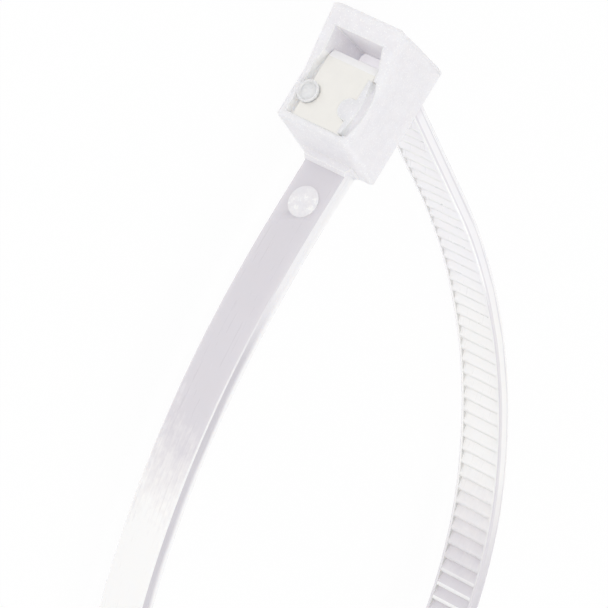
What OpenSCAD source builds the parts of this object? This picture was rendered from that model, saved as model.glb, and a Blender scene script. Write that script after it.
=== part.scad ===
// Self-cutting cable tie, closed in a loop and lying on its side.
// One nylon moulding (head, pawl, neck and toothed strap) and one steel blade
// that is staked into the head over the tail slot.
//
// Frame: +X runs along the head from the tail slot towards the strap's root,
// +Y from the head's exit face through its bundle face into the loop, and +Z
// up, across the strap. The origin is on the side that the tie lies on, below
// the middle of the tail slot.

/* [Head] */
// Wall of the head beside the window and the slot, on each side
side_wall = 1.35; // [1.25:0.05:1.7]
// Height of the head, from its exit face to its bundle face
head_h = 8.2; // [7.4:0.1:9.9]
// Length of the head along its exit face
head_l = 10.9; // [10.5:0.1:13.1]
// How far the strap end of the head leans out at the bundle face
head_lean = 0.9; // [0.4:0.1:1.4]
// How far the exit face falls from the far end to the strap end
exit_fall = 1.4; // [1:0.1:1.6]
// Part of the exit face that slopes, from the far end
exit_slope_l = 6.3; // [5.5:0.1:7]
// Radius of the head's outer edges
head_edge_r = 0.6; // [0.4:0.05:0.8]
// Radius of the upright edges at the head's far end
far_edge_r = 1; // [0.6:0.05:1.3]
// Radius of the upright edges at the head's strap end
end_edge_r = 0.8; // [0.6:0.05:1.1]

/* [Window and tail slot] */
// Wall between the far end and the tail slot
far_wall = 2; // [1.4:0.1:2.4]
// Gap between the strap's edges and the slot's side walls, on each side
slot_side_play = 0.3; // [0.2:0.02:0.4]
// Lip of the exit face between the pocket and the strap end
end_lip = 0.7; // [0.5:0.05:0.9]
// How much wider the slot is than the strap is thick
slot_play = 0.28; // [0.2:0.02:0.6]
// Gap between the strap's outer face and the slot's far wall
slot_seat = 0.05; // [0.03:0.01:0.1]
// How far the slot's inner edge flares at the bundle face
mouth_flare = 0.7; // [0.4:0.1:1]

/* [Blade] */
// Thickness of the steel blade
blade_t = 0.4; // [0.3:0.05:0.5]
// Depth of the blade's face below the highest edge of the exit face
blade_depth = 1.75; // [1.65:0.05:2.1]
// Width of the ground bevel along the cutting edge
blade_bevel = 0.7; // [0.5:0.05:0.9]
// How far the cutting edge stands out over the slot
blade_reach = 0.08; // [0:0.02:0.15]
// Gap round the blade at its end and at the stakes
blade_play = 0.06; // [0.04:0.01:0.15]
// Gap between the blade's sides and its pocket, on each side
blade_side_play = 0.55; // [0.4:0.05:0.6]
// Width of the ledge under each edge of the blade
blade_ledge = 0.4; // [0.3:0.05:0.6]

/* [Stakes] */
// Distance from the blade's cutting edge to the two stakes
stake_from_edge = 4.3; // [3.9:0.1:4.8]
// Radius of a stake's flattened head
stake_head_r = 1.02; // [0.9:0.02:1.2]
// Radius of a stake's shank, in the blade's notch
stake_shank_r = 0.75; // [0.6:0.05:0.85]
// How far a stake's head stands above the blade
stake_head_t = 0.4; // [0.3:0.05:0.5]
// Depth of the dish that the punch leaves in a stake's head
stake_dish = 0.14; // [0.1:0.02:0.2]
// How far a stake's axis stands inside the blade's side
stake_inset = 0.34; // [0.25:0.02:0.45]
// Length of the strip that is swaged over the blade's side
swage_l = 5.2; // [4.6:0.1:5.6]
// How far the swaged strip reaches over the blade's side
swage_reach = 0.1; // [0.05:0.05:0.4]
// Radius of the groove beside the swaged strip
groove_r = 0.33; // [0.25:0.01:0.36]
// How far the groove bows out at its middle
groove_bow = 0.42; // [0.3:0.02:0.5]

/* [Strap] */
// Width of the strap at its parting line
strap_w = 4.8; // [4:0.1:5.8]
// Thickness of the strap
strap_t = 1.4; // [1.1:0.05:1.7]
// How much narrower the outer face is, on each side
outer_taper = 0.23; // [0.1:0.01:0.3]
// How much narrower the toothed face is, on each side
inner_taper = 0.1; // [0.05:0.01:0.2]
// Depth of the parting line below the outer face
parting_depth = 0.45; // [0.3:0.05:0.6]
// Distance of the strap's inner face from the bundle face, at the root
root_setback = 0.65; // [0.2:0.05:0.8]

/* [Teeth] */
// Distance from one tooth to the next
tooth_pitch = 1.44; // [1.2:0.02:1.8]
// Depth of the gaps between the teeth
tooth_depth = 0.5; // [0.35:0.05:0.6]
// Flat crest of a tooth
tooth_crest = 0.36; // [0.2:0.02:0.45]
// Width of the plain rail on each side of the teeth
rail_w = 0.3; // [0.2:0.05:0.5]

/* [Pawl] */
// How much narrower the pawl is than the row of teeth, on each side
pawl_side_play = 0.3; // [0.2:0.05:0.5]
// Gap between the pawl's teeth and the strap's
pawl_play = 0.08; // [0.05:0.01:0.12]
// Thickness of the floor that the pawl springs from
pawl_floor = 1; // [0.8:0.1:1.3]

/* [Loop] */
// Depth of the tail's cut end below the highest edge of the exit face
tail_depth = 5.54; // [5.3:0.02:5.8]
// Straight stretch of strap at the root
root_straight = 4.2; // [3:0.1:8]
// Length of strap in the loop's first bend, with few teeth or none
root_bend = 9.6; // [8:0.1:14]
// Straight stretch of strap where it leaves the slot
tail_straight = 16.5; // [10:0.5:20]
// Angle at which the strap leaves the slot
tail_lean = 13.6; // [10:0.1:16]

/* [Gate mark] */
// Radius of the round mark on the strap's outer face
gate_r = 1.45; // [1:0.05:1.8]
// How far the round mark stands up
gate_t = 0.07; // [0.04:0.01:0.1]
// Distance from the head's strap end to the middle of the round mark
gate_from_end = 4.85; // [4.4:0.05:6]

/* [Hidden] */

NYLON = "whitesmoke";
STEEL = "antiquewhite";

$fa = 6;
$fs = 0.1;
round_fn = 64;
edge_ease = 0.005;   // keeps the round edges just clear of the flat faces
crest_ease = 0.02;   // keeps the teeth's crests just below the rails
ring_step = 1.6;     // from one section of the strap to the next
steep = 0.04;        // run of a tooth's steep flank along the strap
overlap = 0.1;      // how far joined shapes run into each other

// The head's main lines.
window_w = strap_w + 2 * slot_side_play;
head_w = window_w + 2 * side_wall;
slot_gap = strap_t + slot_play;
far_x = -slot_gap / 2 - far_wall;
slot_far_x = -slot_gap / 2;
slot_near_x = slot_gap / 2;
end_x = far_x + head_l;
exit_y = -head_h / 2;
bundle_y = head_h / 2;
mid_z = head_w / 2;

// The blade and its pocket.
pocket_from_slot = 0.2;
edge_flat = 0.05;
pocket_end_x = end_x - end_lip;
blade_x0 = slot_near_x - blade_reach;
blade_x1 = pocket_end_x - blade_play;
blade_y = exit_y + blade_depth;
seat_y = blade_y + blade_t;
blade_half_w = window_w / 2 - blade_play;
pocket_half_w = blade_half_w + blade_side_play;
pocket_x = slot_near_x + pocket_from_slot;
pocket_taper_l = 1.6;
cavity_w = 2 * (blade_half_w - blade_ledge);
cavity_end_x = pocket_end_x - blade_ledge - blade_play;
stake_x = blade_x0 + stake_from_edge;
stake_dz = blade_half_w - stake_inset;

// The pawl's tongue.
pawl_teeth = 2;
pawl_free_teeth = 1;
pawl_t = 0.9;
pawl_nose = 0.3;
pawl_foot = 1.6;

// The neck, where the strap is thickened as it joins the head.
neck_inset = 0.15;
neck_w = strap_w - 2 * neck_inset;
neck_l = 1.15;
neck_rise = 0.4;
neck_ramp = 0.3;
neck_blend_r = 1.1;
neck_side_r = 0.45;

// The strip of the pocket's wall that is swaged over one side of the blade,
// and the groove that the tool leaves along it. The groove is part of a ring.
swage_before_stake = 3;
groove_sink = 0.05;
swage_x0 = stake_x - swage_before_stake;
swage_x1 = swage_x0 + swage_l;
swage_y = blade_y - stake_head_t;
groove_half_l = swage_l / 2;
groove_ring_r = (groove_half_l * groove_half_l + groove_bow * groove_bow) / (2 * groove_bow);
groove_z = pocket_half_w + groove_bow;
groove_y = exit_y + exit_fall + groove_sink;

// The strap's route is its outer face, as stretches of [length, turn].
root_bury = 0.5;
tail_bend_back = 2.3;
root_y = bundle_y - root_setback - strap_t;
strap_x = end_x - root_bury;
tail_x = slot_far_x + slot_seat;
tail_y = exit_y + tail_depth;
tail_bend_r = 6;
tail_bend_y = bundle_y - tail_bend_back;
root_leg = [[end_x + neck_l + neck_ramp - strap_x + root_straight, 0], [root_bend, 5.5], [26.4, 21], [11.8, 15]];
tail_leg = [
    [tail_bend_y - tail_y, 0],
    [tail_bend_r * tail_lean * PI / 180, tail_lean],
    [tail_straight, 0], [17.5, 14.9], [17, 17.2], [12.9, 19],
];
first_toothed = 2;

// ---------------------------------------------------------------- the route

function heading(a) = [cos(a), sin(a)];
function left_of(a) = [-sin(a), cos(a)];
function radius(seg) = seg[0] / (seg[1] * PI / 180);

// The pose [position, angle] at a distance along one stretch. A turn of side 1
// is to the left, and of side -1 to the right.
function along(pose, seg, s, side = 1) =
    seg[1] == 0
    ? [pose[0] + s * heading(pose[1]), pose[1]]
    : let (r = side * radius(seg),
           b = pose[1] + side * seg[1] * s / seg[0])
      [pose[0] + r * (left_of(pose[1]) - left_of(b)), b];

// The poses at the start of every stretch, and at the end of the last one.
function poses(pose, segs, side = 1, i = 0) =
    i == len(segs)
    ? [pose]
    : concat([pose], poses(along(pose, segs[i], segs[i][0], side), segs, side, i + 1));

function sum(v, i = 0) = i == len(v) ? 0 : v[i] + sum(v, i + 1);

// One arc that leaves a point at an angle and ends at another point.
function arc_to(p, a, q) =
    let (c = q - p,
         half = atan2(c * left_of(a), c * heading(a)),
         r = norm(c) / (2 * sin(half)))
    [2 * half * PI / 180 * r, 2 * half];

root_poses = poses([[strap_x, root_y], 0], root_leg);
tail_poses = poses([[tail_x, tail_y], 90], tail_leg, side = -1);

// The far end of the loop is two arcs that join both legs smoothly.
far_from = root_poses[len(root_leg)];
far_to = tail_poses[len(tail_leg)];
far_gap = far_to[0] - far_from[0];
far_t1 = heading(far_from[1]);
far_t2 = -heading(far_to[1]);
far_dot = 1 - far_t1 * far_t2;
far_vt = far_gap * (far_t1 + far_t2);
far_arm = (sqrt(far_vt * far_vt + 2 * far_dot * far_gap * far_gap) - far_vt) / (2 * far_dot);
far_joint = (far_from[0] + far_arm * far_t1 + far_to[0] - far_arm * far_t2) / 2;
far_arc_1 = arc_to(far_from[0], far_from[1], far_joint);
far_arc_2 = arc_to(far_joint, far_from[1] + far_arc_1[1], far_to[0]);

tail_reversed = [for (i = [len(tail_leg) - 1:-1:0]) tail_leg[i]];
route = concat(root_leg, [far_arc_1, far_arc_2], tail_reversed);
route_poses = poses([[strap_x, root_y], 0], route);
route_l = sum([for (seg = route) seg[0]]);

// The pose at a distance from the root, and a point at a depth in the strap.
function pose_at(s, i = 0) =
    i == len(route) - 1 || s <= route[i][0]
    ? along(route_poses[i], route[i], s)
    : pose_at(s - route[i][0], i + 1);
function inside(pose, depth) = pose[0] + depth * left_of(pose[1]);

// A point at a distance from the tail's cut end, and at a depth in the strap.
function from_tail(u, depth) = inside(pose_at(route_l - u), depth);

// ---------------------------------------------------------------- the strap

// The strap's section: x is the depth from the outer face, y is across it.
function strap_section() =
    let (a = strap_w / 2 - outer_taper, b = strap_w / 2, c = strap_w / 2 - inner_taper)
    [[0, -a], [parting_depth, -b], [strap_t, -c], [strap_t, c], [parting_depth, b], [0, a]];

// The strap without its teeth: one ring of the section at every step of the
// route, joined to the next ring.
module plain_strap() {
    outline = strap_section();
    m = len(outline);
    n = ceil(route_l / ring_step);
    rings = [for (i = [0:n])
        let (pose = pose_at(route_l * i / n))
        [for (q = outline)
            let (p = inside(pose, q[0]))
            [p[0], p[1], mid_z + q[1]]]];
    sides = [for (i = [0:n - 1], j = [0:m - 1])
        [i * m + j, (i + 1) * m + j, (i + 1) * m + (j + 1) % m, i * m + (j + 1) % m]];
    root_end = [for (j = [0:m - 1]) j];
    tail_end = [for (j = [m - 1:-1:0]) n * m + j];
    polyhedron([for (ring = rings) each ring], concat([root_end], sides, [tail_end]));
}

// The gaps between the teeth are cut between the two rails. They are counted
// from the tail's cut end, so that they mesh with the pawl.
teeth_half_w = strap_w / 2 - inner_taper - rail_w;
teeth_from = sum([for (i = [0:first_toothed - 1]) root_leg[i][0]]);
teeth = floor((route_l - teeth_from) / tooth_pitch);
tooth_top = strap_t - crest_ease;
tooth_foot = strap_t - tooth_depth;

module tooth_gaps() {
    saw = [for (i = [0:teeth - 1])
        let (u = i * tooth_pitch)
        each [
            from_tail(u, tooth_top),
            from_tail(u + tooth_crest, tooth_top),
            from_tail(u + tooth_crest + steep, tooth_foot),
        ]];
    outside = [for (i = [teeth:-1:0]) from_tail(i * tooth_pitch, strap_t + overlap)];
    across(2 * teeth_half_w)
        polygon(concat(saw, [from_tail(teeth * tooth_pitch, tooth_top)], outside));
}

module strap() {
    difference() {
        plain_strap();
        tooth_gaps();
    }
    translate([end_x + gate_from_end, root_y - gate_t, mid_z])
        rotate([-90, 0, 0])
            cylinder(r = gate_r, h = gate_t + overlap);
}

// ---------------------------------------------------------------- the head

// The tangent points and the centre of the round at one corner of an outline.
function unit(v) = v / norm(v);
function corner_round(before, at, after, r) =
    let (u = unit(before - at), v = unit(after - at),
         half = acos(u * v) / 2,
         d = r / tan(half))
    [at + d * u, at + r / sin(half) * unit(u + v), at + d * v];

// An outline with some corners round. A radius of 0 leaves a corner sharp.
module rounded_outline(points, radii) {
    n = len(points);
    rounds = [for (i = [0:n - 1])
        corner_round(points[(i + n - 1) % n], points[i], points[(i + 1) % n], radii[i])];
    polygon([for (i = [0:n - 1]) each (radii[i] == 0 ? [points[i]] : [rounds[i][0], rounds[i][2]])]);
    for (i = [0:n - 1])
        if (radii[i] > 0) translate(rounds[i][1]) circle(radii[i], $fn = round_fn);
}

// The head seen from its side, with its far end at the left.
module head_outline() {
    r = head_edge_r;
    rounded_outline([[far_x, exit_y], [far_x + exit_slope_l, exit_y + exit_fall], [end_x, exit_y + exit_fall],
        [end_x + head_lean, bundle_y], [far_x, bundle_y]], [r, 0, r, r, r]);
}

// A bar with round long edges. It runs along an angle in the head's side view,
// with one face on a point there and the rest to that face's left.
module round_bar(point, angle, r = head_edge_r) {
    reach = 2 * (head_l + head_h);
    translate(point)
        rotate(angle)
            translate([-reach / 2, -edge_ease, 0])
                rotate([90, 0, 90])
                    linear_extrude(reach)
                        rounded_outline([[0, 0], [reach, 0], [reach, head_w], [0, head_w]], [r, 0, 0, r]);
}

module head_shell() {
    slope = atan(exit_fall / exit_slope_l);
    intersection() {
        linear_extrude(head_w) head_outline();
        union() {
            round_bar([far_x, exit_y], slope);
            round_bar([far_x, exit_y + exit_fall], 0);
        }
        round_bar([far_x, bundle_y], 180);
        round_bar([far_x, bundle_y], -90, far_edge_r);
        round_bar([end_x, exit_y + exit_fall], 90 - atan(head_lean / (head_h - exit_fall)), end_edge_r);
    }
}

// An outline of the head's depth, cut or filled over a width across the strap.
module across(width) {
    translate([0, 0, mid_z - width / 2]) linear_extrude(width) children();
}

// The groove that the tool leaves beside the swaged strip, round at the bottom.
module swage_groove() {
    intersection() {
        translate([swage_x0 + groove_half_l, groove_y, mid_z + groove_z - groove_ring_r])
            rotate([90, 0, 0])
                rotate_extrude($fn = 4 * round_fn) {
                    translate([groove_ring_r, 0]) circle(groove_r, $fn = round_fn);
                    translate([groove_ring_r - groove_r, 0]) square([2 * groove_r, exit_fall + overlap]);
                }
        translate([swage_x0, exit_y - overlap, mid_z + pocket_half_w - groove_r - overlap])
            cube([swage_l, head_h, head_w]);
    }
}

// That strip, over the blade's side and down beside it to the pocket's floor.
module swaged_strip() {
    wall_z = pocket_half_w + overlap;
    translate([swage_x0, swage_y, mid_z + blade_half_w - swage_reach])
        cube([swage_l, stake_head_t, wall_z - blade_half_w + swage_reach]);
    translate([swage_x0, swage_y, mid_z + blade_half_w + blade_play])
        cube([swage_l, seat_y - swage_y + overlap, wall_z - blade_half_w - blade_play]);
}

// The pocket round the blade. Its sides spread from the window's, at once on
// the swaged side and beyond the slot on the other.
module blade_pocket() {
    narrow = window_w / 2 - overlap;
    translate([0, seat_y, mid_z])
        rotate([90, 0, 0])
            linear_extrude(blade_depth + blade_t + overlap)
                polygon([[pocket_end_x, -pocket_half_w], [pocket_x + pocket_taper_l, -pocket_half_w],
                    [pocket_x, -narrow], [slot_far_x, narrow],
                    [pocket_x, pocket_half_w], [pocket_end_x, pocket_half_w]]);
}

// The pocket above the blade, the cavity below it and the slot for the tail.
module head_openings() {
    across(window_w) {
        translate([slot_far_x, exit_y - overlap])
            square([pocket_x + pocket_taper_l - slot_far_x, blade_depth + blade_t + overlap]);
        translate([slot_far_x, exit_y])
            square([slot_gap, head_h + overlap]);
        polygon([[slot_near_x - overlap, bundle_y - 2 * mouth_flare],
            [slot_near_x, bundle_y - 2 * mouth_flare],
            [slot_near_x + mouth_flare, bundle_y + overlap],
            [slot_near_x - overlap, bundle_y + overlap]]);
    }
    blade_pocket();
    across(cavity_w)
        translate([slot_near_x - overlap, blade_y])
            square([cavity_end_x - slot_near_x + overlap, bundle_y - pawl_floor - blade_y]);
}

// The tongue that springs from the floor and holds the tail's teeth. Its own
// teeth follow the strap's, so they fit however the strap leans in the slot.
// The first of them stands free, beyond the tail's cut end.
module pawl() {
    face = strap_t + pawl_play;
    tip = strap_t - tooth_depth + pawl_play;
    catch = tooth_crest + steep + pawl_play;
    pawl_from = catch - pawl_free_teeth * tooth_pitch;
    foot_x = slot_near_x + mouth_flare;
    foot_y = bundle_y - pawl_floor + overlap;
    saw = [for (i = [0:pawl_teeth - 1])
        let (u = pawl_from + i * tooth_pitch)
        each [from_tail(u - steep, face), from_tail(u, tip), from_tail(u + tooth_pitch - catch, face)]];
    across(2 * (teeth_half_w - pawl_side_play))
        polygon(concat([from_tail(pawl_from - pawl_nose, face + pawl_t)], saw,
            [[foot_x, foot_y], [foot_x + pawl_foot, foot_y]]));
}

// The thickened root of the strap. Hollow blends lead up the head's end and
// out to both sides of it.
module neck() {
    top_y = root_y - neck_rise;
    x0 = end_x - head_edge_r;
    x1 = end_x + neck_l;
    blend_x = end_x + neck_blend_r;
    side_x = end_x + head_lean + neck_side_r;
    side_w = neck_w + 2 * neck_side_r;
    intersection() {
        across(side_w)
            difference() {
                polygon([[x0, top_y - neck_blend_r], [blend_x, top_y - neck_blend_r], [blend_x, top_y],
                    [x1, top_y], [x1 + neck_ramp, root_y], [x1 + neck_ramp, root_y + strap_t - overlap],
                    [x0, root_y + strap_t - overlap]]);
                translate([blend_x, top_y - neck_blend_r]) circle(neck_blend_r, $fn = round_fn);
            }
        translate([0, bundle_y, mid_z])
            rotate([90, 0, 0])
                linear_extrude(head_h)
                    difference() {
                        polygon([[x0, -side_w / 2], [side_x, -side_w / 2], [side_x, -neck_w / 2],
                            [x1 + neck_ramp, -neck_w / 2], [x1 + neck_ramp, neck_w / 2], [side_x, neck_w / 2],
                            [side_x, side_w / 2], [x0, side_w / 2]]);
                        for (side = [-1, 1])
                            translate([side_x, side * side_w / 2]) circle(neck_side_r, $fn = round_fn);
                    }
    }
}

// A stud that passes the blade's notch and is flattened over its face. Where
// it stands free, the punch leaves a dish with a raised edge.
module stake(side, dished) {
    shank_l = blade_t + overlap;
    dish_r = stake_head_r - stake_dish;
    translate([stake_x, seat_y + overlap, mid_z + side * stake_dz])
        rotate([90, 0, 0]) {
            cylinder(r = stake_shank_r, h = shank_l + overlap);
            translate([0, 0, shank_l])
                difference() {
                    cylinder(r = stake_head_r, h = stake_head_t);
                    if (dished)
                        translate([0, 0, stake_head_t - stake_dish])
                            cylinder(r1 = dish_r - stake_dish, r2 = dish_r, h = stake_dish + edge_ease);
                }
        }
}

// ---------------------------------------------------------------- the pieces

module tie_body() {
    color(NYLON) {
        difference() {
            union() {
                difference() {
                    head_shell();
                    head_openings();
                }
                swaged_strip();
                stake(-1, dished = true);
                stake(1, dished = false);
            }
            swage_groove();
        }
        pawl();
        neck();
        strap();
    }
}

module cutting_blade() {
    color(STEEL)
        difference() {
            translate([blade_x0, blade_y, mid_z - blade_half_w])
                cube([blade_x1 - blade_x0, blade_t, 2 * blade_half_w]);
            across(window_w)
                polygon([[blade_x0 - overlap, blade_y - overlap], [blade_x0 + blade_bevel, blade_y - overlap],
                    [blade_x0 + blade_bevel, blade_y], [blade_x0, seat_y - edge_flat], [blade_x0 - overlap, seat_y]]);
            for (side = [-1, 1])
                translate([stake_x, blade_y - overlap, mid_z + side * stake_dz])
                    rotate([-90, 0, 0])
                        cylinder(r = stake_shank_r + blade_play, h = blade_t + 2 * overlap);
        }
}

tie_body();
cutting_blade();
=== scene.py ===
# %% [markdown]
# # A self-cutting cable tie
#
# A cable tie is one nylon moulding: a boxy head with a slot through it, and a long strap with teeth on its
# inner face. This one is closed in a loop, and a small steel blade staked in the head cuts the tail off.
# The construction is loaded as a fixed frame in metres. This lesson gives it a camera, a studio, a skin
# with soft moulded edges, and two families of finish: milky nylon and stamped steel.

# %% Load the frame
from math import cos, pi, radians, sin

import bmesh
import bpy
from mathutils import Matrix, Vector


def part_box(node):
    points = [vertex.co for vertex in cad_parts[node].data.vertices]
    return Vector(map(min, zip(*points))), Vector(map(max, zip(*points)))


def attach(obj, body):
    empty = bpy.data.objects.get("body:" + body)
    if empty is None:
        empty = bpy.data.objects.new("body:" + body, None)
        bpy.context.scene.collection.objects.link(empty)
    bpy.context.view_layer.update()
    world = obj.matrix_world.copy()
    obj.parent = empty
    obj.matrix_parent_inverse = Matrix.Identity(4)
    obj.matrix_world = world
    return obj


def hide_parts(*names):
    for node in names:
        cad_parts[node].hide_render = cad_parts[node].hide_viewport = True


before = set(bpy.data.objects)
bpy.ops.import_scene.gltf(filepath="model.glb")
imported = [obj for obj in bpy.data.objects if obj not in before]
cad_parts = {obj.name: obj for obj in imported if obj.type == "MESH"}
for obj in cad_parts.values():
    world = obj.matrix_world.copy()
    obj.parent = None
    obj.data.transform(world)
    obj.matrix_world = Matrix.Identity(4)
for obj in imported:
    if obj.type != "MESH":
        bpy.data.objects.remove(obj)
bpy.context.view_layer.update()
scene = bpy.context.scene
mm = 0.001

tie_low, tie_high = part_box("tie_body")
blade_low, blade_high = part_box("cutting_blade")
strap_mid_z = (tie_low.z + tie_high.z) / 2
print("tie body, mm:", [round(v / mm, 2) for v in (*tie_low, *tie_high)])
print("blade, mm:", [round(v / mm, 2) for v in (*blade_low, *blade_high)])

# %% [markdown]
# ## Camera
#
# A small product is best seen from some way off through a long lens, so that its parallel edges stay
# nearly parallel. The camera is placed by how it is aimed: the point that it looks at, the azimuth and
# elevation that it looks from, and how far it is rolled about its own axis. The lens then follows from how
# wide a field is to fill the picture. A roll this strong makes a tie that lies flat seem to hang from its
# head.

# %% The camera
aim = Vector((20.12, 5.77, 7.0)) * mm
azimuth = radians(8.68)
elevation = radians(34.4)
roll = radians(116.64)
distance = 452.3 * mm
field_w = 51.28 * mm
sensor_w = 36.0

towards = Vector((sin(azimuth) * cos(elevation), -cos(azimuth) * cos(elevation), sin(elevation)))
level_right = Vector((cos(azimuth), sin(azimuth), 0))
level_up = towards.cross(level_right)
right = cos(roll) * level_right + sin(roll) * level_up
up = towards.cross(right)
turn = Matrix((right, up, towards)).transposed().to_4x4()

camera_data = bpy.data.cameras.new("camera")
camera_data.type = "PERSP"
camera_data.sensor_width = sensor_w
camera_data.lens = sensor_w * distance / field_w
camera_data.clip_start = 0.01
camera_data.clip_end = 10
camera = bpy.data.objects.new("camera", camera_data)
camera.matrix_world = Matrix.Translation(aim + distance * towards) @ turn
scene.collection.objects.link(camera)
scene.camera = camera
scene.view_settings.view_transform = "Standard"
print("lens, mm:", round(camera_data.lens, 1))

# %% [markdown]
# ## Shader maths
#
# A material is a graph of nodes, but its maths reads best as plain expressions. One small class wraps an
# output socket, and each operator on it adds a Math node.

# %% A wire
class Wire:
    """An output socket, on which sums can be written."""

    def __init__(self, sheet, socket):
        self.sheet = sheet
        self.socket = socket

    def math(self, operation, a, b):
        return self.sheet.node("ShaderNodeMath", {"operation": operation}, {0: a, 1: b})

    def __add__(self, other):
        return self.math("ADD", self, other)

    __radd__ = __add__

    def __sub__(self, other):
        return self.math("SUBTRACT", self, other)

    def __rsub__(self, other):
        return self.math("SUBTRACT", other, self)

    def __mul__(self, other):
        return self.math("MULTIPLY", self, other)

    __rmul__ = __mul__


# %% [markdown]
# ## A sheet of nodes
#
# One method makes every other kind of node: it takes the node's type, its settings, and the values or wires
# of its sockets. The rest are short names for the few nodes that every finish here is made of. Patterns are
# placed by a point's own position on the object, in millimetres, so they stay put from every side.

# %% A sheet
class Sheet:
    """The nodes of a material or of the world."""

    def __init__(self, owner):
        owner.use_nodes = True
        self.tree = owner.node_tree
        self.tree.nodes.clear()

    def node(self, kind, settings=None, sockets=None, output=0):
        made = self.tree.nodes.new(kind)
        for name, value in (settings or {}).items():
            setattr(made, name, value)
        for name, value in (sockets or {}).items():
            if isinstance(value, Wire):
                self.tree.links.new(value.socket, made.inputs[name])
            else:
                made.inputs[name].default_value = value
        return Wire(self, made.outputs[output]) if made.outputs else None

    def place(self):
        """Where a point is on the object, in millimetres."""
        position = self.node("ShaderNodeTexCoord", output="Object")
        return self.node("ShaderNodeVectorMath", {"operation": "SCALE"}, {0: position, "Scale": 1 / mm})

    def noise(self, place, size, stretch=(1, 1, 1), detail=3.0):
        """Soft noise whose blobs are about this many millimetres across, before they are stretched."""
        scale = [1 / (size * s) for s in stretch]
        mapped = self.node("ShaderNodeMapping", {"vector_type": "POINT"}, {"Vector": place, "Scale": scale})
        return self.node("ShaderNodeTexNoise", {"noise_dimensions": "3D"},
                         {"Vector": mapped, "Scale": 1.0, "Detail": detail, "Roughness": 0.55})

    def mix(self, factor, a, b):
        """Colour a where the factor is 0, and colour b where it is 1."""
        return self.node("ShaderNodeMix", {"data_type": "RGBA"}, {"Factor": factor, 6: a, 7: b}, output=2)

    def range(self, value, low, high, to_low=0.0, to_high=1.0):
        """A straight ramp from one value at low to another at high, and level beyond both."""
        return self.node("ShaderNodeMapRange", {"clamp": True}, {
            "Value": value, "From Min": low, "From Max": high, "To Min": to_low, "To Max": to_high})

    def bump(self, height, depth, normal=None):
        """A relief this many millimetres deep, on top of another normal if one is given."""
        sockets = {"Height": height, "Strength": 1.0, "Distance": depth * mm}
        if normal:
            sockets["Normal"] = normal
        return self.node("ShaderNodeBump", {}, sockets)

    def soft_edges(self, radius):
        """A normal that turns early at an edge, as if it were rounded by this many millimetres."""
        return self.node("ShaderNodeBevel", {"samples": 8}, {"Radius": radius * mm})

    def edges(self, soft):
        """1 on an edge and 0 away from it, from how far the soft normal turns from the true one."""
        true = self.node("ShaderNodeNewGeometry", output="Normal")
        likeness = self.node("ShaderNodeVectorMath", {"operation": "DOT_PRODUCT"},
                             {0: soft, 1: true}, output="Value")
        return self.range(likeness, 0.99, 0.9)

    def surface(self, **sockets):
        """One Principled shader. An underscore stands for the space in a socket's name."""
        named = {name.replace("_", " "): value for name, value in sockets.items()}
        shader = self.node("ShaderNodeBsdfPrincipled", {"subsurface_method": "RANDOM_WALK"}, named)
        self.node("ShaderNodeOutputMaterial", {}, {"Surface": shader})


# %% [markdown]
# ## Studio
#
# Pale, see-through things are shown on a light table: a white sheet that is lit from below, so that it
# leaves hardly a shadow and light comes up through the piece. For the rays that show the floor, most of
# its light is emission at strength 1, which is white. The rest stays diffuse and keeps a trace of shadow.

# %% The floor
table_side = 4.0
table_glow = 0.6
shown_glow = 0.9


def direct_rays(sheet):
    """1 for a ray that shows the studio itself: seen, mirrored, or seen through something."""
    seen = sheet.node("ShaderNodeLightPath", output="Is Camera Ray")
    mirrored = sheet.node("ShaderNodeLightPath", output="Is Glossy Ray")
    through = sheet.node("ShaderNodeLightPath", output="Is Transmission Ray")
    return seen + mirrored + through


def floor_material():
    material = bpy.data.materials.new("studio_floor")
    sheet = Sheet(material)
    shown = direct_rays(sheet)
    paint = sheet.node("ShaderNodeBsdfDiffuse", {}, {"Color": (1, 1, 1, 1)})
    glow = sheet.node("ShaderNodeEmission", {}, {"Color": (1, 1, 1, 1), "Strength": 1.0})
    share = table_glow + (shown_glow - table_glow) * shown
    both = sheet.node("ShaderNodeMixShader", {}, {0: share, 1: paint, 2: glow})
    sheet.node("ShaderNodeOutputMaterial", {}, {"Surface": both})
    return material


def studio_floor(side):
    shape = bmesh.new()
    bmesh.ops.create_grid(shape, x_segments=1, y_segments=1, size=side / 2)
    mesh = bpy.data.meshes.new("studio_floor")
    shape.to_mesh(mesh)
    shape.free()
    floor = bpy.data.objects.new("studio_floor", mesh)
    scene.collection.objects.link(floor)
    mesh.materials.append(floor_material())
    return floor


floor = studio_floor(table_side)
print("light table, m:", table_side)

# %% [markdown]
# ## The room
#
# White walls all round give an even light. They light the piece a little below white, so that its pale
# nylon doesn't clip, and they are pure white only where they are seen, mirrored or seen through something.

# %% The world
sky_light = 0.88

world = bpy.data.worlds.new("studio")
scene.world = world
sky = Sheet(world)
strength = sky_light + (1 - sky_light) * direct_rays(sky)
white = sky.node("ShaderNodeBackground", {}, {"Color": (1, 1, 1, 1), "Strength": strength})
sky.node("ShaderNodeOutputWorld", {}, {"Surface": white})
print("room light:", sky_light)

# %% [markdown]
# ## Lamps
#
# White nylon shows its form only by small differences in tone, and most of its light is the room's. One
# lamp stands in front of the head's exit face and above it. A weaker one stands behind the loop, where the
# polished corners of the strap mirror it. Both are small, so that what mirrors them is a crisp glint.

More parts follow.
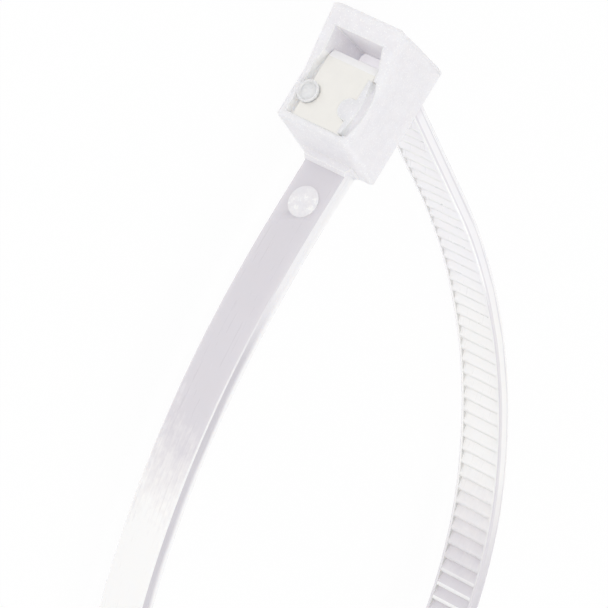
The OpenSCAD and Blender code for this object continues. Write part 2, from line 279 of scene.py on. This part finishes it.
# %% Lamps
def lamp(name, direction, away, size, brightness):
    """A square lamp that lights a face turned to it to this brightness, next to white at 1."""
    data = bpy.data.lights.new(name, "AREA")
    data.shape = "SQUARE"
    data.size = size
    data.energy = brightness * (pi * away) ** 2
    placed = bpy.data.objects.new(name, data)
    toward = Vector(direction).normalized()
    turned = toward.to_track_quat("Z", "Y").to_matrix().to_4x4()
    placed.matrix_world = Matrix.Translation(aim + away * toward) @ turned
    scene.collection.objects.link(placed)
    print("lamp:", name, "energy, W:", round(data.energy, 3))


lamp("key", (0.15, -0.65, 0.75), away=0.6, size=0.12, brightness=0.08)
lamp("rim", (0.435, 0.66, 0.61), away=0.6, size=0.14, brightness=0.05)

# %% [markdown]
# ## Nylon
#
# Uncoloured nylon is milky: light goes in, scatters and comes out a millimetre away, which is subsurface
# scattering. Every finish here is a blend of a clear, a milky and a white tint, and only the pattern of the
# blend, the grain and the gloss differ. In places the blend is painted light: painted sheen and glints where
# it turns milky or white, and painted shade where it turns clear and dark.

# %% What every nylon has in common
nylon_ior = 1.53
scatter_rgb = (1.0, 0.95, 0.9)
clear_tint = (0.72, 0.70, 0.735, 1)
milky_tint = (0.89, 0.88, 0.90, 1)
white_tint = (1.0, 0.995, 0.99, 1)


def nylon(name, sheet_of, depth, share=0.6):
    """A nylon finish: what makes its pattern, and what share of the light goes how many mm deep."""
    material = bpy.data.materials.new(name)
    sheet = Sheet(material)
    tint, roughness, relief = sheet_of(sheet, sheet.place())
    sheet.surface(Base_Color=tint, Roughness=roughness, IOR=nylon_ior, Normal=relief,
                  Subsurface_Weight=share, Subsurface_Radius=scatter_rgb, Subsurface_Scale=depth * mm)
    print("finish:", name)
    return material


# %% [markdown]
# ## Head finish
#
# The head was moulded against a sparked, slightly rough steel. Its corners and fine flecks are painted
# white, partly as wear and partly as painted glints where they catch the light. A shading bevel gives a
# second normal that turns early at an edge, so where it leaves the true normal there is an edge, and a fine
# noise breaks that line up.

# %% The head's nylon
head_milk = (0.875, 0.865, 0.89, 1)


def head_sheet(sheet, place):
    clouds = sheet.noise(place, 1.0)
    grain = sheet.noise(place, 0.3)
    specks = sheet.noise(place, 0.15, detail=2.0)
    soft = sheet.soft_edges(0.2)
    milk = sheet.range(0.6 * clouds + 0.4 * grain, 0.4, 0.58, 0.8, 1.0)
    # White flecks and edges: partly wear, partly painted glints where the edges catch the light.
    wear_and_painted_glints = sheet.range(specks + 0.3 * sheet.edges(soft), 0.61, 0.7)
    tint = sheet.mix(milk, clear_tint, head_milk)
    tint = sheet.mix(wear_and_painted_glints, tint, white_tint)
    roughness = 0.42 + 0.2 * (clouds - 0.5) + 0.12 * wear_and_painted_glints
    relief = sheet.bump(grain + 0.4 * specks, 0.03, soft)
    return tint, roughness, relief


head_nylon = nylon("nylon_head", head_sheet, depth=1.2)

# %% [markdown]
# ## Strap finish
#
# The strap's mould was polished along its length, so its gloss is drawn out in fine streaks. Its tint holds
# a painted sheen: clear and darker near the gate, milky a few centimetres on, and clear and darker again
# round the far end of the loop. Its milk is bluish near the head and warmer farther off.

# %% The strap's nylon
# Where the painted sheen starts, where it is full, where it is still full and where it is gone, in mm.
sheen_from = 4.2
sheen_full_at = 7.2
sheen_full_until = 47
sheen_gone_at = 55
warm_from = 36
warm_at = 44
warm_lean = 1.1
bluish_milk = (0.94, 0.922, 0.96, 1)
warm_milk = (0.97, 0.955, 0.94, 1)


def axis(sheet, place, name):
    """Where a point is along X, Y or Z, in millimetres."""
    return sheet.node("ShaderNodeSeparateXYZ", {}, {"Vector": place}, output=name)


def strap_colour_and_sheen(sheet, place):
    """A painted sheen: clear, then milky, then clear again, with borders that streaks and clouds break up.
    """
    clouds = sheet.noise(place, 1.8, stretch=(1.5, 1.5, 1))
    streaks = sheet.noise(place, 0.14, stretch=(60, 60, 1))
    flecks = sheet.noise(place, 0.35, stretch=(2, 2, 1), detail=4.0)
    mottle = 1.6 * (streaks - 0.5) + 3.0 * (clouds - 0.5) + 2.4 * (flecks - 0.5)
    reach = axis(sheet, place, "Y") + mottle
    far = reach + warm_lean * axis(sheet, place, "X")
    milk = sheet.mix(sheet.range(far, warm_from, warm_at), bluish_milk, warm_milk)
    # The painted sheen: the milky band is paler than the clear strap on either side of it.
    share = sheet.range(reach, sheen_from, sheen_full_at) * sheet.range(reach, sheen_gone_at, sheen_full_until)
    return sheet.mix(share, clear_tint, milk)


def strap_sheet(sheet, place):
    streaks = sheet.noise(place, 0.14, stretch=(60, 60, 1))
    scuffs = sheet.noise(place, 0.3, stretch=(6, 6, 1))
    roughness = 0.3 + 0.14 * (streaks - 0.5) + 0.1 * (scuffs - 0.5)
    return strap_colour_and_sheen(sheet, place), roughness, sheet.bump(scuffs, 0.006)


strap_nylon = nylon("nylon_strap", strap_sheet, depth=1.5)

# %% [markdown]
# ## Side finishes
#
# The strap's sides carry painted light and shade. Along the leg that leaves the neck they are milky at first
# and farther on a dark tint, which is painted shade. From the parting line, which is the widest place, they
# are painted paler towards the teeth. Along the leg that enters the slot the sides take the strap's tint,
# with a thin painted shade line under the corner and another at the parting line.

# %% The nylon of the sides
parting_half_w = 2.4
foot_half_w = 2.31
lit_side_half_w = 2.34
# Where the two painted shade lines lie, as half widths in mm.
corner_shade_line_at = (2.334, 2.328)
parting_shade_line_at = (2.388, 2.395)
# Where the sides' painted shade fades out near the neck and where it is full, along X in mm; then the dark
# tint of that painted shade and the pale tint of the painted light.
lit_side_until_x = 20
shaded_side_from_x = 27
painted_shade_tint = (0.64, 0.62, 0.66, 1)
painted_light_tint = (0.95, 0.94, 0.955, 1)


def half_width(sheet, place):
    """How far a point is from the middle of the strap's width, in millimetres."""
    offset = axis(sheet, place, "Z") - strap_mid_z / mm
    return sheet.node("ShaderNodeMath", {"operation": "ABSOLUTE"}, {0: offset})


def painted_side_shading(sheet, place):
    """Painted shade: milky beside the neck, and a dark tint farther on."""
    beside_neck = sheet.range(axis(sheet, place, "X"), shaded_side_from_x, lit_side_until_x)
    return sheet.mix(beside_neck, painted_shade_tint, milky_tint)


def side_streaks(sheet, place):
    return sheet.noise(place, 0.3, stretch=(30, 30, 1))


def streaked(sheet, tint, streaks):
    """A tint with the roughness and the relief that all the sides share."""
    return tint, 0.3 + 0.14 * (streaks - 0.5), sheet.bump(streaks, 0.006)


def side_sheet(sheet, place):
    streaks = side_streaks(sheet, place)
    out = half_width(sheet, place) + 0.03 * (streaks - 0.5)
    # The half of a side towards the teeth is painted paler, which is painted light.
    milk = sheet.range(out, parting_half_w, lit_side_half_w)
    return streaked(sheet, sheet.mix(milk, painted_side_shading(sheet, place), painted_light_tint), streaks)


def shoulder_sheet(sheet, place):
    streaks = side_streaks(sheet, place)
    milk = sheet.range(streaks, 0.3, 0.7, 0.0, 0.2)
    # A shoulder takes the sides' painted shade, with a little milk in its streaks.
    return streaked(sheet, sheet.mix(milk, painted_side_shading(sheet, place), milky_tint), streaks)


def lined_sheet(sheet, place):
    """Each painted shade line starts at the first of its two half widths and is in full at the second."""
    streaks = side_streaks(sheet, place)
    out = half_width(sheet, place)
    # Two thin painted shade lines, in the darker clear tint.
    corner_shade = sheet.range(out, *corner_shade_line_at, 0.0, 0.7)
    parting_shade = sheet.range(out, *parting_shade_line_at, 0.0, 0.8)
    tint = sheet.mix(corner_shade + parting_shade, strap_colour_and_sheen(sheet, place), clear_tint)
    return streaked(sheet, tint, streaks)


side_nylon = nylon("nylon_strap_sides", side_sheet, depth=0.5)
shoulder_nylon = nylon("nylon_strap_shoulders", shoulder_sheet, depth=0.5)
lined_nylon = nylon("nylon_lined_sides", lined_sheet, depth=0.5)

# %% [markdown]
# ## Ridges, crests and gaps
#
# The strap's long corners are polished, and in places they carry a painted glint, a white line: near the
# head on the leg that enters it, and farther off on the leg that leaves the neck. The teeth's crests carry
# painted highlights, white in patches near the head and wholly white farther along the loop. Each pair of
# places below is where one of these starts to show and where it shows in full. The ends of the gaps between
# the teeth have a darker tint, which is painted shade.

# %% The nylon of the ridges, the crests and the gaps' ends
entering_x = (9.2, 7.8)
entering_y = (34, 26)
leaving_x = (17, 40)
leaving_y = (34, 28)
crest_highlight_y = (28, 20)
far_highlight_y = (53.4, 55.0)
gap_shade_dark = (0.68, 0.68, 0.67, 1)
gap_shade_pale = (0.82, 0.82, 0.80, 1)


def ridge_sheet(sheet, place):
    scuffs = sheet.noise(place, 0.25)
    x = axis(sheet, place, "X")
    y = axis(sheet, place, "Y")
    entering = sheet.range(x, *entering_x) * sheet.range(y, *entering_y)
    leaving = sheet.range(x, *leaving_x) * sheet.range(y, *leaving_y)
    # Painted glint: the polished corners are painted white in these places.
    painted_glint = sheet.range(scuffs, 0.3, 0.5, 0.7, 1.0) * (entering + leaving)
    roughness = 0.15 + 0.2 * (scuffs - 0.5)
    return sheet.mix(painted_glint, clear_tint, white_tint), roughness, sheet.bump(scuffs, 0.006)


def crest_sheet(sheet, place):
    scuffs = sheet.noise(place, 0.5, stretch=(1, 1, 3))
    y = axis(sheet, place, "Y")
    # Painted highlights on the crests: in patches near the head, and in full farther along the loop.
    crest_highlight = sheet.range(y, *crest_highlight_y) * sheet.range(scuffs, 0.45, 0.6)
    far_highlight = sheet.range(y, *far_highlight_y)
    tint = sheet.mix(crest_highlight + far_highlight, strap_colour_and_sheen(sheet, place), white_tint)
    roughness = 0.3 + 0.2 * (scuffs - 0.5)
    return tint, roughness, sheet.bump(scuffs, 0.006)


def gap_sheet(sheet, place):
    clouds = sheet.noise(place, 0.4)
    # The gaps' ends get a darker tint, which is painted shade.
    tint = sheet.mix(clouds, gap_shade_dark, gap_shade_pale)
    return tint, 0.3 + 0.2 * (clouds - 0.5), sheet.bump(clouds, 0.006)


ridge_nylon = nylon("nylon_ridges", ridge_sheet, depth=0.5)
crest_nylon = nylon("nylon_crests", crest_sheet, depth=1.5)
gap_nylon = nylon("nylon_gap_ends", gap_sheet, depth=0.3, share=0.2)

# %% [markdown]
# ## Inside the head
#
# The blade's seat, with the stakes, is the same nylon as the head but smooth from the mould's core. The
# slot is deep and narrow, yet it isn't dark, because light comes through the nylon round it. A render
# follows light through only a few walls, so its walls are given the rest: a faint light of their own,
# which grows with depth.

# %% The nylon of the seat and the slot
slot_depth = 5.0
light_at_mouth = (0.05, 0.049, 0.052, 1)
light_in_depth = (0.22, 0.214, 0.228, 1)


def seat_sheet(sheet, place):
    drag = sheet.noise(place, 0.2, stretch=(1, 10, 1))
    tint = sheet.mix(sheet.range(drag, 0.35, 0.65, 0.6, 1.0), milky_tint, white_tint)
    roughness = 0.3 + 0.15 * (drag - 0.5)
    relief = sheet.bump(drag, 0.01, sheet.soft_edges(0.08))
    return tint, roughness, relief


def slot_nylon(name):
    """Smooth nylon that gives off the light that has come through it."""
    material = bpy.data.materials.new(name)
    sheet = Sheet(material)
    place = sheet.place()
    tint, roughness, relief = seat_sheet(sheet, place)
    depth = sheet.range(axis(sheet, place, "Y"), tie_low.y / mm, tie_low.y / mm + slot_depth)
    passed_light = sheet.mix(depth, light_at_mouth, light_in_depth)
    sheet.surface(Base_Color=tint, Roughness=roughness, IOR=nylon_ior, Normal=relief,
                  Emission_Color=passed_light, Emission_Strength=1.0)
    print("finish:", name)
    return material


seat_nylon = nylon("nylon_seat", seat_sheet, depth=2.0, share=0.8)
slot_wall_nylon = slot_nylon("nylon_slot_walls")

# %% [markdown]
# ## Gate mark
#
# The round mark is where the molten plastic came in. It was torn off the runner, so it is rough and pale.

# %% The gate mark's nylon
def gate_sheet(sheet, place):
    torn = sheet.noise(place, 0.45, detail=4.0)
    tint = sheet.mix(sheet.range(torn, 0.4, 0.6, 0.75, 1.0), clear_tint, milky_tint)
    tint = sheet.mix(sheet.range(torn, 0.56, 0.66), tint, white_tint)
    roughness = 0.5 + 0.25 * (torn - 0.5)
    relief = sheet.bump(torn, 0.12, sheet.soft_edges(0.06))
    return tint, roughness, relief


gate_nylon = nylon("nylon_gate_mark", gate_sheet, depth=0.8)

# %% [markdown]
# ## Steel
#
# The blade is stamped from strip with a matte rolled face, and only its cutting edge is ground; that edge is
# painted near white, as a painted highlight.
# Rolling draws faint lines in the strip, and grinding leaves finer ones that run to the edge.

# %% Steel finishes
def steel(name, tint, roughness, metallic, line_size, line_stretch, line_depth):
    """A steel finish, and how fine, how drawn out and how deep its lines are."""
    material = bpy.data.materials.new(name)
    sheet = Sheet(material)
    place = sheet.place()
    clouds = sheet.noise(place, 0.9, detail=4.0)
    lines = sheet.noise(place, line_size, stretch=line_stretch)
    dark = [c * 0.97 for c in tint] + [1]
    pale = [min(1, c * 1.03) for c in tint] + [1]
    dullness = roughness + 0.15 * (clouds - 0.5) + 0.1 * (lines - 0.5)
    relief = sheet.bump(lines, line_depth, sheet.soft_edges(0.03))
    sheet.surface(Base_Color=sheet.mix(clouds, dark, pale), Metallic=metallic, Roughness=dullness,
                  Normal=relief)
    print("finish:", name)
    return material


rolled_steel = steel("steel_rolled", (0.89, 0.875, 0.84), roughness=0.5, metallic=1.0,
                     line_size=0.1, line_stretch=(1, 1, 12), line_depth=0.004)
# The ground edge: steel with a near-white, mostly diffuse tint, which is a painted highlight.
ground_edge_highlight_steel = steel("ground_edge_steel_highlight", (1.0, 1.0, 0.99), roughness=0.45, metallic=0.2,
                     line_size=0.05, line_stretch=(8, 8, 1), line_depth=0.002)

# %% [markdown]
# ## Skins
#
# The frame's meshes are loose triangles. Each skin is a copy of one, merged into a closed surface and
# freed of the triangles' diagonals. Then its faces can be shaded smoothly across the bends, its corners
# can be rounded, and each face can be given its finish by where it lies.

# %% From a node to a finished skin
same_place = 0.001 * mm
same_plane = radians(0.4)
smooth_up_to = radians(22)


def merged_copy(node):
    """A node's shape as one closed surface, with its flat faces whole."""
    shape = bmesh.new()
    shape.from_mesh(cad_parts[node].data)
    bmesh.ops.remove_doubles(shape, verts=shape.verts, dist=same_place)
    bmesh.ops.dissolve_limit(shape, angle_limit=same_plane, verts=shape.verts, edges=shape.edges)
    print(node, "merged, faces:", len(shape.faces))
    return shape


def round_corners(shape, edges, width):
    """Round these edges, and return the faces that do it."""
    made = bmesh.ops.bevel(shape, geom=edges, offset=width, offset_type="WIDTH", affect="EDGES",
                           segments=2, profile=0.5, material=-1)
    return made["faces"]


def finished(shape, name, node, finishes, finish_of):
    """The piece that stands for a node. Each face gets the finish that finish_of gives for it."""
    mesh = bpy.data.meshes.new(name)
    for face in shape.faces:
        face.smooth = True
        face.material_index = finishes.index(finish_of(face))
    shape.to_mesh(mesh)
    shape.free()
    mesh.set_sharp_from_angle(angle=smooth_up_to)
    for finish in finishes:
        mesh.materials.append(finish)
    piece = bpy.data.objects.new(name, mesh)
    scene.collection.objects.link(piece)
    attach(piece, "root")
    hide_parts(node)
    print(name, "faces:", len(mesh.polygons))
    return piece


# %% [markdown]
# ## The nylon skin
#
# The strap's long corners are real rounds, narrow ones, made with the bevel operator. The edges to round
# are found by what they are: long, sharp, level, outside the row of teeth, and past the neck or past the
# head. An edge that starts inside the slot counts too, if its middle is past the head. A tooth's crest and
# its steep flank are found by their size.

# %% Sorting the strap
neck_end_x = blade_high.x + 2.2 * mm
bundle_y = tie_low.y + 8.1 * mm
teeth_half_w = 2.0 * mm
clear_of_teeth = 2.1 * mm
nearly = 0.05 * mm
long_length = 1.3 * mm
sharp_turn = radians(45)
tooth_area = 2.6 * mm * mm
at_parting = parting_half_w - 0.02
at_foot = foot_half_w - 0.02
print("past the neck, x, mm:", round(neck_end_x / mm, 2), "past the head, y, mm:", round(bundle_y / mm, 2))


def on_strap(point):
    return point.x > neck_end_x or point.y > bundle_y


def is_long_corner(edge):
    a, b = [corner.co for corner in edge.verts]
    level = abs(a.z - b.z) < nearly
    outside_teeth = abs(a.z - strap_mid_z) > clear_of_teeth
    long_and_sharp = edge.calc_length() > long_length and edge.calc_face_angle(0) > sharp_turn
    past_neck = min(a.x, b.x) > neck_end_x
    past_head = (a.y + b.y) / 2 > bundle_y
    return level and outside_teeth and long_and_sharp and (past_neck or past_head)


def strap_side(face):
    """The finish of the strap's sides, whichever leg they are on. None elsewhere."""
    half_widths = [abs(corner.co.z - strap_mid_z) / mm for corner in face.verts]
    if max(half_widths) < at_parting:
        return None
    middle = face.calc_center_median()
    is_shoulder = min(half_widths) < at_foot
    if middle.y > middle.x:
        return None if is_shoulder else lined_nylon
    return shoulder_nylon if is_shoulder else side_nylon


def tooth_part(face):
    """The finish of a tooth's crest or steep flank, or of the gaps' ends. None elsewhere."""
    offsets = [corner.co.z - strap_mid_z for corner in face.verts]
    if any(abs(abs(offset) - teeth_half_w) > nearly for offset in offsets):
        return None
    if abs(face.normal.z) > 0.9:
        return gap_nylon
    return crest_nylon if face.calc_area() < tooth_area else None


# %% [markdown]
# ## Where each finish goes
#
# The window's and the cavity's walls lie inside a box in the head. The gate mark is a disc on the strap's
# outer face. What is left is the head, up to the end of its neck, and the strap.

# %% The nylon skin
inner_low = Vector((tie_low.x + 1.98 * mm, tie_low.y + 0.3 * mm, strap_mid_z - 3.22 * mm))
inner_high = Vector((blade_high.x + 0.07 * mm, bundle_y, strap_mid_z + 3.22 * mm))
seat_y = blade_high.y + 0.1 * mm
gate_x = blade_high.x + 5.61 * mm
gate_y = tie_low.y + 5.95 * mm
gate_r = 1.45 * mm
ridge_w = 0.15 * mm


def inside_head(face):
    """The finish of a face inside the head: the seat's, or the slot's if it goes deeper. None elsewhere."""
    corners = [corner.co for corner in face.verts]
    if any(not inner_low[i] < corner[i] < inner_high[i] for corner in corners for i in range(3)):
        return None
    return slot_wall_nylon if max(corner.y for corner in corners) > seat_y else seat_nylon


def gate_part(middle):
    """The gate mark's finish for a face whose middle lies on the mark. None elsewhere."""
    on_disc = abs(middle.x - gate_x) < gate_r and abs(middle.z - strap_mid_z) < gate_r
    return gate_nylon if on_disc and middle.y < gate_y else None


def nylon_finish(face):
    middle = face.calc_center_median()
    inner = inside_head(face)
    if inner or not on_strap(middle):
        return inner or head_nylon
    if face in ridges:
        return ridge_nylon
    return tooth_part(face) or strap_side(face) or gate_part(middle) or strap_nylon


nylon_finishes = [head_nylon, strap_nylon, side_nylon, shoulder_nylon, lined_nylon, ridge_nylon,
                  crest_nylon, gap_nylon, gate_nylon, seat_nylon, slot_wall_nylon]
tie_shape = merged_copy("tie_body")
long_corners = [edge for edge in tie_shape.edges if is_long_corner(edge)]
print("long corners:", len(long_corners))
ridges = set(round_corners(tie_shape, long_corners, ridge_w))
tie_skin = finished(tie_shape, "tie_skin", "tie_body", nylon_finishes, nylon_finish)

# %% [markdown]
# ## The steel skin
#
# The blade's corners are left as sharp as a press leaves them. Only the ground bevel has its own finish,
# with its painted highlight.

# %% The blade
def steel_finish(face):
    on_bevel = face.normal.x < -0.3 and face.normal.y < -0.3
    return ground_edge_highlight_steel if on_bevel else rolled_steel


steel_finishes = [rolled_steel, ground_edge_highlight_steel]
blade_shape = merged_copy("cutting_blade")
blade_skin = finished(blade_shape, "blade_skin", "cutting_blade", steel_finishes, steel_finish)
